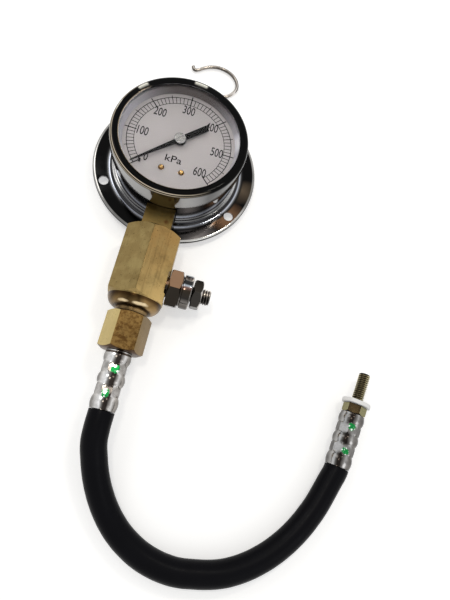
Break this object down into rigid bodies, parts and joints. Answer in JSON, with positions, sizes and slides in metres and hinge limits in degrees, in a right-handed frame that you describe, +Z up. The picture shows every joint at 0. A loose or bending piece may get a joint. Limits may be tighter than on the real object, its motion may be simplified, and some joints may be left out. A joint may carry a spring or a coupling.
{
  "type": "fuel pressure gauge set",
  "caption": "Flanged dial gauge with a wire hook, on a hexagon coupling with a side bleed valve and a short rubber hose with a threaded end.",
  "frame": {"origin": "on the surface that the set lies on, under the middle of the gauge, its fittings and its hook", "axes": "+Y from the hose adapter through the dial's centre to the hook, +Z up out of the dial, +X towards the bleed valve"},
  "size_m": [0.1664, 0.2667, 0.0357],
  "materials": {
    "chrome": "polished chrome plate",
    "nickel": "bright nickel plate on steel",
    "brass": "machined brass, slightly tarnished",
    "polished_brass": "polished brass",
    "zinc_yellow": "yellow passivated zinc plate on steel",
    "steel": "turned steel",
    "bronze": "drawn bronze",
    "glass": "clear flat glass",
    "dial_white": "matt white enamel",
    "ring_grey": "light grey",
    "pointer_black": "matt black",
    "rubber": "smooth black rubber",
    "nylon": "white nylon"
  },
  "bodies": {
    "set": {"case": "chrome", "flange": "chrome", "bezel": "chrome", "bleed_valve_body": "nickel", "near_ferrule": "nickel", "far_ferrule": "nickel", "socket": "brass", "coupling": "brass", "hose_adapter": "brass", "back_plate": "brass", "front_plate": "brass", "pillar_upper": "brass", "pillar_lower": "brass", "dial_post_left": "brass", "dial_post_right": "brass", "dial_screw_left": "polished_brass", "dial_screw_right": "polished_brass", "far_fitting": "zinc_yellow", "movement_screw_left": "steel", "movement_screw_right": "steel", "bourdon_tube": "bronze", "hairspring": "bronze", "lens": "glass", "dial": "dial_white", "inner_ring": "ring_grey", "stop_pin": "pointer_black", "lens_gasket": "rubber", "hose": "rubber", "hose_end_near": "rubber", "hose_end_far": "rubber", "seal_washer": "nylon"},
    "pointer": {"pointer": "pointer_black", "pointer_cap": "chrome", "pinion_shaft": "steel"},
    "sector": {"sector_gear": "brass"},
    "link": {"link": "steel"},
    "tube_tip": {"tube_tip": "brass"},
    "valve_ball": {"valve_ball": "steel"},
    "bleed_screw": {"bleed_screw": "steel", "lock_nut": "nickel"},
    "hook": {"hook": "nickel"}
  },
  "joints": [
    {"name": "pointer_turn", "type": "hinge", "parent": "set", "child": "pointer", "pos_m": [0, 0.02752, 0.02796], "axis": [0, -0.0209, -0.9998], "range_deg": [0, 268.5], "stiffness_Nm_per_rad": 0.0005, "deforming": ["hairspring"]},
    {"name": "sector_swing", "type": "hinge", "parent": "set", "child": "sector", "pos_m": [0.01327, 0.01812, 0.02286], "axis": [0, -0.0209, -0.9998], "range_deg": [-34, 0.5]},
    {"name": "link_turn", "type": "hinge", "parent": "sector", "child": "link", "pos_m": [0.01687, 0.01542, 0.02291], "axis": [0, -0.0209, -0.9998], "range_deg": [-0.5, 34]},
    {"name": "tip_travel", "type": "hinge", "parent": "set", "child": "tube_tip", "pos_m": [-0.00397, 0.03126, 0.02258], "axis": [0, -0.0209, -0.9998], "range_deg": [-6.1, 0.3], "deforming": ["bourdon_tube"]},
    {"name": "ball_travel", "type": "slide", "parent": "set", "child": "valve_ball", "axis": [1, 0, 0], "range_m": [0, 0.0019]},
    {"name": "bleed_screw_turn", "type": "hinge", "parent": "valve_ball", "child": "bleed_screw", "pos_m": [0.02, -0.04097, 0.01449], "axis": [1, 0, 0], "range_deg": [0, 540]},
    {"name": "hook_swing", "type": "hinge", "parent": "set", "child": "hook", "pos_m": [0, 0.06864, 0.00425], "axis": [1, 0, 0], "range_deg": [-75, 100]}
  ],
  "couplings": [
    {"joint": "sector_swing", "follows": "pointer_turn", "ratio": -0.125},
    {"joint": "link_turn", "follows": "pointer_turn", "ratio": 0.125},
    {"joint": "tip_travel", "follows": "pointer_turn", "ratio": -0.022235},
    {"joint": "ball_travel", "follows": "bleed_screw_turn", "m_per_rad": 0.00019894}
  ]
}
